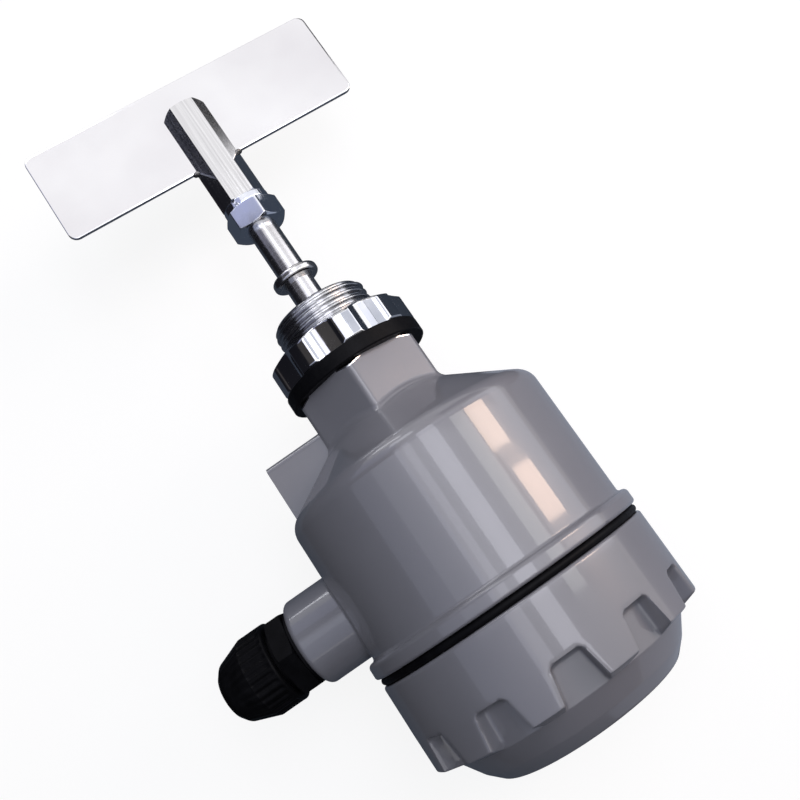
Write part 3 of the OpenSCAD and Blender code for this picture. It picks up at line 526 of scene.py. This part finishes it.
# Section from the seat's edge out to the painted flat, then back below the surface
across = np.concatenate([np.linspace(0, 1, bevel_columns), np.linspace(1, 0, bevel_columns)])
proud = np.repeat([bevel_skin, -bevel_sink], bevel_columns)
from_corner = np.linspace(-crescent_half, crescent_half, 33)[:, None]
for number in range(6):
    bevel_turn = np.pi / 6 + number * np.pi / 3 + from_corner
    out = across * (rounded_hexagon(bevel_turn, neck_flats, neck_edge_r) - bevel_r)
    crescent_r = bevel_r + out + bevel_lean * np.maximum(proud, 0)
    crescent = about_shaft(proud - out * bevel_slope, crescent_r, bevel_turn)
    name = "bare_bevel_%d" % (number + 1)
    put_piece(name, *skin(crescent, False), bare_metal, "housing", "plated_steel")

# Gasket: flat black rubber ring between the neck and the bin wall, held by the lock nut's pull.
# The shaft's lip seal, the ring in the cover's joint and the gland's two seals are black rubber too.
rubber, tree, shader, place = begin_finish("black_rubber")
mottle(tree, shader, place, 300, (0.003, 0.003, 0.004), (0.006, 0.006, 0.007), 900, 0.40, 0.55)
relief(tree, shader, grain(tree, place, 1500), 0.00005, 0.3)
shader.inputs["Specular IOR Level"].default_value = 0.08
dress(rubber, "gasket", "shaft_seal", "cover_seal", "gland_insert", "gland_washer")

# Lock nut: ring of chromed steel with narrow lugs between wide hollows, for a hook spanner.
# It clamps the switch to the wall of the bin from inside, and its outer end has a deep bevel.
chrome, tree, shader, place = begin_finish("nut_chrome")
mottle(tree, shader, place, 120, (0.56, 0.57, 0.59), (0.68, 0.68, 0.69), 300, 0.05, 0.12)
shader.inputs["Metallic"].default_value = 1


def soft_min(a, b, width):
    """Smaller of two values, with the change from one to the other rounded over a width."""
    mix = np.clip(0.5 + 0.5 * (b - a) / width, 0, 1)
    return b + (a - b) * mix - width * mix * (1 - mix)


nut_low, nut_high = box_mm("lock_nut")
nut_r = gasket_high[2]
lug_count = 9
lug_w = 6.0
lug_soft = 0.35
hollow_depth = 1.4
first_hollow = np.radians(85.3)
nut_turn = np.linspace(0, 2 * np.pi, lug_count * 48, endpoint=False)
lug_step = 2 * np.pi / lug_count
hollow_half = lug_step / 2 - np.arcsin(lug_w / 2 / nut_r)
half_chord = nut_r * np.sin(hollow_half)
hollow_r = (half_chord ** 2 + hollow_depth ** 2) / (2 * hollow_depth)
hollow_x = nut_r * np.cos(hollow_half) - hollow_depth + hollow_r
# Radius of the hollow's arc at an angle from its middle, and the rim between the hollows
off_hollow = np.mod(nut_turn - first_hollow + lug_step / 2, lug_step) - lug_step / 2
arc = hollow_x * np.cos(off_hollow)
arc = arc - np.sqrt(np.maximum(hollow_r ** 2 - (hollow_x * np.sin(off_hollow)) ** 2, 0))
outline = soft_min(np.full_like(arc, nut_r), arc, lug_soft)
# Rows along the rim, closer together at its ends, where the two bevels cut it
rim_share = (0.5 - 0.5 * np.cos(np.linspace(0, np.pi, 44)))[:, None]
rim_x = nut_low[0] + (nut_high[0] - nut_low[0]) * rim_share
outer_bevel_l = 3.0
outer_bevel_rise = 0.5
outer_bevel_fall = 1.86
outer_soft = 0.5
inner_bevel_drop = 0.5
inner_soft = 0.2
outer_bevel = nut_r + outer_bevel_rise - (rim_x - nut_high[0] + outer_bevel_l) * outer_bevel_fall
inner_bevel = nut_r - inner_bevel_drop + (rim_x - nut_low[0])
rim_r = soft_min(soft_min(outline, outer_bevel, outer_soft), inner_bevel, inner_soft)
# Bore over the thread, with a small bevel at each end
thread_play = 0.05
outer_mouth = 0.8
inner_mouth = 0.4
nut_bore_r = thread_r + thread_play
bore_x = np.array([nut_high[0], nut_high[0] - outer_mouth, nut_low[0] + inner_mouth, nut_low[0]])
bore_wall = nut_bore_r + np.array([outer_mouth, 0, 0, inner_mouth])
lugged_nut = np.concatenate([
    about_shaft(rim_x, rim_r, nut_turn),
    about_shaft(bore_x[:, None], bore_wall[:, None], nut_turn),
])
piece = put_piece("lugged_nut", *skin(lugged_nut, True), chrome, "lock_nut", "nut_chrome")
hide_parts("lock_nut")

# Shaft and its fittings: a stainless bar, turned and polished, with a round collar ring, a split washer
# of zinc-plated steel and the hexagon hub that takes the paddle. The hub's drawn lines run along it.
shaft_steel = steel(
    "shaft_steel", (0.52, 0.51, 0.51), (0.68, 0.67, 0.67), 0.14, 0.26, (4200, 25, 25), 0.00002,
)
hub_steel = steel(
    "hub_steel", (0.70, 0.70, 0.71), (0.88, 0.88, 0.88), 0.07, 0.15, (25, 1500, 1500), 0.000006,
)
bright_zinc = steel(
    "bright_zinc", (0.84, 0.87, 0.97), (0.92, 0.95, 1.0), 0.06, 0.14, (200, 200, 200), 0.00001,
)
dress(shaft_steel, "shaft", "collar_ring", "shaft_clips", "drive_shaft")
dress(hub_steel, "paddle_hub")
dress(bright_zinc, "spring_washer")

# Jam nut: hexagon of zinc-plated steel on the shaft's thread, tightened on the washer under the hub.
# Its edges are rounded, and a bevel turned on each end cuts the flats in arcs.
jam_low, jam_high = box_mm("jam_nut")
jam_flats = 17.0
jam_edge_r = 0.6
jam_bore_r = 5.03
jam_first_corner = np.radians(57)
jam_bevel_l = 1.0
jam_bevel_fall = np.tan(np.radians(60))
jam_soft = 0.12
# Angles of the six corners' arcs and of the flats between them
corner_arc = np.radians(1.8)
on_corner = np.linspace(-corner_arc, corner_arc, 9)
on_flat = np.linspace(corner_arc, np.pi / 3 - corner_arc, 14)[1:-1]
six_corners = np.arange(6)[:, None] * np.pi / 3
jam_turn = (jam_first_corner + six_corners + np.concatenate([on_corner, on_flat])).ravel()
jam_r = rounded_hexagon(jam_turn - jam_first_corner + np.pi / 6, jam_flats, jam_edge_r)
# Rows from an end face up the bevel and past its edge, which lies lower on the flats than at the corners
bevel_l = jam_bevel_l - (jam_r.max() - jam_r) / jam_bevel_fall
up_bevel = np.array([0, 0.4, 0.65, 0.8, 0.9, 0.96, 1, 1.04, 1.1, 1.2, 1.4])[:, None]
from_end = up_bevel * bevel_l
jam_end_r = soft_min(jam_r + 0 * from_end, jam_r + jam_bevel_fall * (from_end - bevel_l), jam_soft)
jam_hexagon = np.concatenate([
    about_shaft(jam_low[0] + from_end, jam_end_r, jam_turn),
    about_shaft(jam_high[0] - from_end[::-1], jam_end_r[::-1], jam_turn),
    about_shaft(np.array([[jam_high[0]], [jam_low[0]]]), jam_bore_r, jam_turn),
])
piece = put_piece("jam_hexagon", *skin(jam_hexagon, True), bright_zinc, "rotor", "stainless")
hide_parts("jam_nut")

# Paddle: blade of polished stainless sheet, set in the hub's slot and welded there.
# Its edges are sheared and a little rounded, and its corners have a small radius.
mirror_sheet = steel(
    "mirror_sheet", (0.85, 0.84, 0.86), (0.95, 0.95, 0.96), 0.09, 0.13, (30, 25, 25), 0.000004,
)
paddle_low, paddle_high = box_mm("paddle")
paddle_l = 108.0
paddle_t = 1.5
paddle_r = 3.0
sheared_r = 0.3
paddle_turn = np.radians(12)
blade_x = np.array([paddle_low[0], paddle_high[0]])
half_l = paddle_l / 2
half_t = paddle_t / 2
# Outline of the blade, and the directions square to it
sides = [
    (blade_x[0], 0, 0), (blade_x[0], half_l, paddle_r), (blade_x[1], half_l, paddle_r),
    (blade_x[1], -half_l, paddle_r), (blade_x[0], -half_l, paddle_r), (blade_x[0], 0, 0),
]
blade = rounded_path(sides, 12)[:-1]
ahead = np.roll(blade, -1, 0) - np.roll(blade, 1, 0)
square = np.stack([ahead[:, 1], -ahead[:, 0]], -1) / np.linalg.norm(ahead, axis=1, keepdims=True)
square = square * np.sign(((blade - blade.mean(0)) * square).sum(1).mean())
# Section of the sheet's edge from one face round to the other: inset from the outline, and height.
# Two rows on each face lie inside the corners' radius, so that no row crosses itself.
bend = np.radians(np.linspace(90, 0, 5))
inset = sheared_r * (1 - np.cos(bend))
flat_inset = np.array([0.6, 0.3]) * paddle_r
inset = np.concatenate([flat_inset, inset, inset[::-1], flat_inset[::-1]])
lift = half_t - sheared_r + sheared_r * np.sin(bend)
lift = np.concatenate([[half_t] * 2, lift, -lift[::-1], [-half_t] * 2])
flat_points = blade[None] - inset[:, None, None] * square[None]


def on_blade(along, across, lift):
    """Points from places along X, across the blade and above its middle plane, turned about X."""
    along, across, lift = np.broadcast_arrays(along, across, lift)
    return np.stack([
        along,
        across * np.cos(paddle_turn) - lift * np.sin(paddle_turn),
        across * np.sin(paddle_turn) + lift * np.cos(paddle_turn),
    ], -1)


blade_rings = on_blade(flat_points[..., 0], flat_points[..., 1], lift[:, None])
piece = put_piece("paddle_blade", *skin(blade_rings, False), mirror_sheet, "rotor", "paddle_steel")
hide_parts("paddle")

# Welds: a short bead at each side of the hub, where the blade's lower edge leaves the slot.
# They are stainless, left as they cooled, with the ripple of the run.
weld_steel = steel(
    "weld_steel", (0.14, 0.135, 0.13), (0.30, 0.29, 0.28), 0.28, 0.45, (900, 900, 900), 0.00004,
)
hub_flats = 14.0
hub_corner = hub_flats / np.sqrt(3)
bead_size = np.array([0.9, 1.5, 1.35])
bead_overlap = 0.2
ripple_height = 0.05
ripple_count = 9
bead_turn = np.linspace(0, 2 * np.pi, 48, endpoint=False)
bead_lat = np.radians(np.linspace(-86, 86, 23))[:, None]
ripple = 1 + ripple_height * np.cos(ripple_count * bead_lat)
for side, name in ((1, "left_weld"), (-1, "right_weld")):
    bead = on_blade(
        blade_x[0] + bead_size[0] * ripple * np.cos(bead_lat) * np.cos(bead_turn),
        side * (hub_corner - bead_overlap) + bead_size[1] * np.sin(bead_lat),
        bead_size[2] * ripple * np.cos(bead_lat) * np.sin(bead_turn),
    )
    put_piece(name, *skin(bead, False), weld_steel, "rotor", "stainless")

# Drive: bearings, chassis, swinging motor and fasteners inside the housing. The bearings are bright steel,
# the plates, posts, screws and the motor's case are zinc plated, and the coupling, the bush and the screws
# of the wiring are brass.
bearing_steel = steel(
    "bearing_steel", (0.6, 0.6, 0.62), (0.75, 0.75, 0.77), 0.12, 0.22, (900, 900, 900), 0.00001,
)
zinc = steel("zinc_plate", (0.55, 0.55, 0.53), (0.70, 0.70, 0.68), 0.28, 0.42, (300, 300, 300), 0.00002)
brass = steel("brass", (0.62, 0.44, 0.16), (0.74, 0.55, 0.24), 0.20, 0.34, (1200, 1200, 1200), 0.00001)
for ending in ("outer", "balls", "inner"):
    dress(bearing_steel, "front_bearing_" + ending, "rear_bearing_" + ending)
dress(zinc, "rear_bearing_clip", "bush_clip", "chassis_plate", "chassis_screws", "swing_plate")
dress(zinc, "motor_posts", "motor_gearbox", "motor_case", "spring_post", "spring_anchor", "stop_pins")
dress(zinc, "terminal_pillars", "terminal_plate_screws", "switch_screws", "clutch_screws")
dress(brass, "clutch_hub", "pivot_bush", "terminal_screws", "earth_screw")

# Return spring: drawn steel wire, an eye on the fixed anchor, ten coils and an eye on the swing plate's
# post. It draws the motor back when the paddle runs free. Here the wire is one still piece on no moving
# body.
spring_wire = steel(
    "spring_wire", (0.50, 0.50, 0.51), (0.66, 0.66, 0.67), 0.2, 0.3, (1500, 1500, 1500), 0.00001,
)
anchor_low, anchor_high = box_mm("spring_anchor")
post_low, post_high = box_mm("spring_post")
eye_up_post = 3.0
spring_x = post_low[0] + eye_up_post
anchor_at = np.array([spring_x, *((anchor_low + anchor_high) / 2)[1:]])
post_at = np.array([spring_x, *((post_low + post_high) / 2)[1:]])
wire_r = 0.45
wire_sides = 12
coil_r = 2.0
eye_r = 2.15
coils = 10
step_deg = 15
span = np.linalg.norm(anchor_at - post_at)
coil_l = span - 4 * eye_r
# Path of the wire in the spring's own axes: across, along towards the anchor, and up
around = np.radians(np.arange(300, 29, -step_deg))
eye = np.stack([eye_r * np.sin(around), span / 2 - eye_r * np.cos(around), 0 * around], -1)
rise = np.radians(np.arange(0, 61, step_deg))
lead = np.stack([
    eye_r / 2 * (1 - np.sin(rise)),
    coil_l / 2 + eye_r * np.cos(rise),
    coil_r * np.sin(rise),
], -1)
wound = np.radians(np.arange(0, 360 * coils + 1, step_deg))
coil = np.stack([
    -coil_r * np.sin(wound),
    coil_l / 2 - coil_l * wound / wound[-1],
    coil_r * np.cos(wound),
], -1)
mirrored = np.array([-1, -1, 1])
wire = np.concatenate([eye, lead, coil, lead[::-1] * mirrored, eye[::-1] * mirrored])
spring_along = (anchor_at - post_at) / span
spring_up = np.array([1.0, 0, 0])
spring_across = np.cross(spring_along, spring_up)
wire = (anchor_at + post_at) / 2 + wire @ np.stack([spring_across, spring_along, spring_up])


def round_wire(path, radius, sides, aside=(0.3, 0.2, 1.0)):
    """Rings of a round wire: circles square to the path, each keeping the twist of the one before.
    The first twist is square to a direction aside from the path's start."""
    ahead = np.gradient(path, axis=0)
    ahead = ahead / np.linalg.norm(ahead, axis=1, keepdims=True)
    across = np.empty_like(path)
    kept = np.cross(ahead[0], aside)
    for place, direction in enumerate(ahead):
        kept = kept - direction * (kept @ direction)
        kept = kept / np.linalg.norm(kept)
        across[place] = kept
    angle = np.linspace(0, 2 * np.pi, sides, endpoint=False)[None, :, None]
    other = np.cross(ahead, across)
    return path[:, None] + radius * (across[:, None] * np.cos(angle) + other[:, None] * np.sin(angle))


wire_rings = round_wire(wire, wire_r, wire_sides)
piece = put_piece("drawn_spring", *skin(wire_rings, False), spring_wire, None, "spring_steel")
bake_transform(piece)
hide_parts("return_spring")

# Switches and terminals: black snap-action switches on the chassis plate's rear face, and a brown
# laminate plate on pillars. The terminal block on that plate, the cam and the switches' plungers are
# cream mouldings.
moulding, tree, shader, place = begin_finish("cream_moulding")
mottle(tree, shader, place, 200, (0.60, 0.56, 0.44), (0.68, 0.64, 0.52), 700, 0.35, 0.5)
dress(moulding, "terminal_block", "cam", "signal_plunger", "stop_plunger")
laminate, tree, shader, place = begin_finish("brown_laminate")
paper_grain = (900, 60, 400)
mottle(tree, shader, place, 1.0, (0.13, 0.055, 0.022), (0.21, 0.10, 0.045), 500, 0.3, 0.45, paper_grain)
dress(laminate, "terminal_plate")
black_case, tree, shader, place = begin_finish("black_case")
mottle(tree, shader, place, 400, (0.015, 0.015, 0.016), (0.025, 0.025, 0.027), 900, 0.35, 0.5)
dress(black_case, "signal_switch", "stop_switch")

# Cover: cast cup that screws on the spigot against a black ring, in the same enamel as the housing.
# Twelve castle lugs round its end give a strap or bar a grip, with soft cast edges.
cover_low, cover_high = box_mm("cover")
cover_r = cover_high[2]
rim_bore_r = 42.55
rim_edge_r = 1.0
rim_edge_l = 1.3
rim_mouth = 0.5
thread_low = -93.0
cup_r = 38.1
cast_wall = 4.0
end_r = 31.0
dome_r = 39.8
castle_lugs = 12
lug_from_end = 13.0
lug_l = 10.0
lug_base = cover_low[0] + lug_from_end
lug_top = lug_base + lug_l
lug_slope = 2.0
lug_taper = 4.0
end_lug_w = 10.0
foot_soft = 1.0
floor_taper = 0.18
notch_corner_r = 2.0
first_lug_deg = 82
first_notch = np.radians(first_lug_deg + 180 / castle_lugs)
# Section of a notch's wall: places across it and share of the way from its floor to the lug's face
wall_off = np.array([-1.5, -0.75, -0.3, -0.08, 0.0, 0.02, 0.1, 0.35, 0.8, 1.5])
wall_share = np.array([0.0, 0.035, 0.11, 0.24, 0.45, 0.7, 0.87, 0.965, 0.992, 1.0])
# Places of the grid's lines about that wall
wall_columns = np.array([
    -2.0, -1.6, -1.2, -0.9, -0.65, -0.45, -0.28, -0.14, -0.05, 0, 0.05, 0.12, 0.35, 0.8, 1.5,
])
# Places along X from the rim to the foot of the lugs, close together round the lugs' edges
above_notch = 2.2
below_notch = 2.6
above_foot = 1.4
foot_edge = 1.1
rim_rows = rounded_path([
    (cover_high[0], rim_bore_r, 0), (cover_high[0], cover_r, rim_edge_r),
    (cover_high[0] - rim_edge_l, cover_r, 0), (lug_top + above_notch, cover_r, 0),
])
notch_rows = lug_top + wall_columns[::-1]
side_rows = np.linspace(lug_top - below_notch, lug_base + above_foot, 6)
foot_rows = np.linspace(lug_base + foot_edge, lug_base - lug_slope, 14)
along = np.concatenate([rim_rows[:, 0], notch_rows, side_rows, foot_rows])
face_r = soft_min(
    np.full(len(foot_rows), cover_r),
    dome_r + (foot_rows - lug_base + lug_slope) * (cover_r - dome_r) / lug_slope,
    foot_soft,
)
face_r = np.concatenate([rim_rows[:, 1], np.full(len(notch_rows) + len(side_rows), cover_r), face_r])
notch_w = 2 * np.pi * cover_r / castle_lugs - end_lug_w
up_lug = np.clip((along - lug_base + lug_slope) / (lug_top - lug_base), 0, 1)
notch_half = notch_w / 2 - lug_taper / 2 * up_lug
# Columns of half a pitch from the middle of a notch: its floor, its wall, and half a lug
floor_share = np.linspace(0, 1, 6)[:-1]
lug_share = np.linspace(0, 1, 6)[1:-1]
floor_off = floor_share * (notch_half[:, None] + wall_columns[0])
wall_place = np.concatenate([floor_off, notch_half[:, None] + wall_columns], 1)
# Distance out of the notch, whose two upper corners are arcs: from an arc's centre where a point lies
# beyond it both ways, and otherwise from the nearer straight side
past_side = wall_place - notch_half[:, None] + notch_corner_r
past_top = (along - lug_top)[:, None] + notch_corner_r
outside = np.hypot(np.maximum(past_side, 0), np.maximum(past_top, 0))
outside = outside + np.minimum(np.maximum(past_side, past_top), 0) - notch_corner_r
share = np.interp(outside, wall_off, wall_share)
depth = np.concatenate([1 - share, np.zeros((len(along), len(lug_share)))], 1)
floor_r = dome_r + floor_taper * (along - lug_base + lug_slope)
radius = face_r[:, None] - (face_r - np.minimum(floor_r, face_r))[:, None] * depth
wall_angle = np.arcsin(wall_place / radius[:, :wall_place.shape[1]])
half_pitch = np.pi / castle_lugs
lug_angle = wall_angle[:, -1:] + lug_share * (half_pitch - wall_angle[:, -1:])
half_angle = np.concatenate([wall_angle, lug_angle], 1)
lug_middle = np.full((len(along), 1), half_pitch)
pitch_angle = np.concatenate([half_angle, lug_middle, 2 * half_pitch - half_angle[:, :0:-1]], 1)
pitch_r = np.concatenate([radius, face_r[:, None], radius[:, :0:-1]], 1)
pitch_turns = 2 * half_pitch * np.arange(castle_lugs)
cover_turn = first_notch + (pitch_turns[None, :, None] + pitch_angle[:, None]).reshape(len(along), -1)
castle = about_shaft(along[:, None], np.tile(pitch_r, (1, castle_lugs)), cover_turn)
# Dome and inside of the cup follow the columns of the lugs' last row, down to a small ring at the middle
bend_from_end = 4.42
bend_r = 6.0
end_edge_r = 3.0
cup_bend_r = 2.0
middle_r = 2.0
first_step = 0.06
dome_top = np.array([lug_base - lug_slope, dome_r])
dome_bend = np.array([cover_low[0] + bend_from_end, (end_r + dome_r) / 2])
dome_next = (1 - first_step) * dome_top + first_step * dome_bend
dome = rounded_path([
    (*dome_top, 0), (*dome_next, 0), (*dome_bend, bend_r),
    (cover_low[0], end_r, end_edge_r), (cover_low[0], middle_r, 0),
], 10)[1:]
cup_floor = cover_low[0] + cast_wall
cup = rounded_path([
    (cup_floor, middle_r, 0), (cup_floor, end_r, end_edge_r), (lug_base + cast_wall, cup_r, cup_bend_r),
    (thread_low, cup_r, 0), (thread_low, rim_bore_r, 0), (cover_high[0] - rim_mouth, rim_bore_r, 0),
])
cover_rings = np.concatenate([
    about_shaft(cup[:, :1], cup[:, 1:], cover_turn[-1]),
    castle,
    about_shaft(dome[:, :1], dome[:, 1:], cover_turn[-1]),
])
piece = put_piece("castle_cover", *skin(cover_rings, False), enamel, "cover", "housing_paint")
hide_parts("cover")

# Cable gland: black nylon hexagon body and ribbed dome nut, screwed into the boss.
# The nut's mouth is a rounded cone that squeezes the rubber insert on a cable.
nylon, tree, shader, place = begin_finish("black_nylon")
mottle(tree, shader, place, 250, (0.003, 0.003, 0.0035), (0.006, 0.006, 0.007), 800, 0.30, 0.42)
relief(tree, shader, grain(tree, place, 2500), 0.00003, 0.2)
shader.inputs["Specular IOR Level"].default_value = 0.05
dress(nylon, "gland_body")
dome_low, dome_high = box_mm("gland_nut")
dome_foot = dome_low[1]
dome_mouth = dome_high[1]
dome_nut_r = 13.2
dome_edge_r = 0.8
dome_thread_r = 10.65
dome_thread_l = 4.5
dome_thread_end = dome_foot + dome_thread_l
foot_gap = 0.2
grip_l = 9.0
grip_end = dome_foot + grip_l
grip_ribs = 30
groove_t = 0.45
groove_power = 1.5
insert_r = 8.4
insert_play = 0.3
insert_bore_r = insert_r + insert_play
cable_r = 6.0
mouth_t = 2.7
mouth_wall = dome_mouth - mouth_t
# The cone runs from the grip over a shoulder to the mouth: place, radius and rounding of those two edges
shoulder = (dome_mouth - 2.2, insert_r + 1.6, 3)
mouth_edge = (dome_mouth, insert_r - 1, 1)
nut_section = rounded_path([
    (dome_foot, dome_thread_r, 0), (dome_foot, dome_nut_r, dome_edge_r),
    (grip_end, dome_nut_r, dome_edge_r), shoulder, mouth_edge,
    (dome_mouth, cable_r, 0), (mouth_wall, cable_r, 0), (mouth_wall, insert_bore_r, 0),
    (dome_thread_end, insert_bore_r, 0), (dome_thread_end, dome_thread_r, 0),
    (dome_foot + foot_gap, dome_thread_r, 0),
], 8)
first_row = 1.2
last_row = 0.9
grip_rows = np.linspace(dome_foot + first_row, grip_end - last_row, 12)
grip = np.stack([grip_rows, np.full(len(grip_rows), dome_nut_r)], -1)
cut = np.flatnonzero(nut_section[:, 0] > grip_rows[-1])[0]
nut_section = np.concatenate([nut_section[:cut], grip, nut_section[cut:]])
rib_turn = np.linspace(0, 2 * np.pi, grip_ribs * 10, endpoint=False)
# Grooves between the ribs: rounded hollows along the outside of the grip, running out at its two ends
groove = (0.5 + 0.5 * np.cos(grip_ribs * rib_turn)) ** groove_power
groove_start = dome_foot + 1.0
groove_end = grip_end + 0.6
run_in_l = 0.8
run_out_l = 0.9
outside_r = 11.5
section_y = nut_section[:, :1]
section_r = nut_section[:, 1:]
run_in = np.clip((section_y - groove_start) / run_in_l, 0, 1)
run_out = np.clip((groove_end - section_y) / run_out_l, 0, 1)
on_grip = run_in * run_out * (section_r > outside_r)
rib_r = section_r - groove_t * groove * on_grip
ribbed_nut = about_gland(rib_r, section_y, rib_turn)
piece = put_piece("ribbed_dome_nut", *skin(ribbed_nut, True), nylon, "gland_nut", "gland_black")
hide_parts("gland_nut")
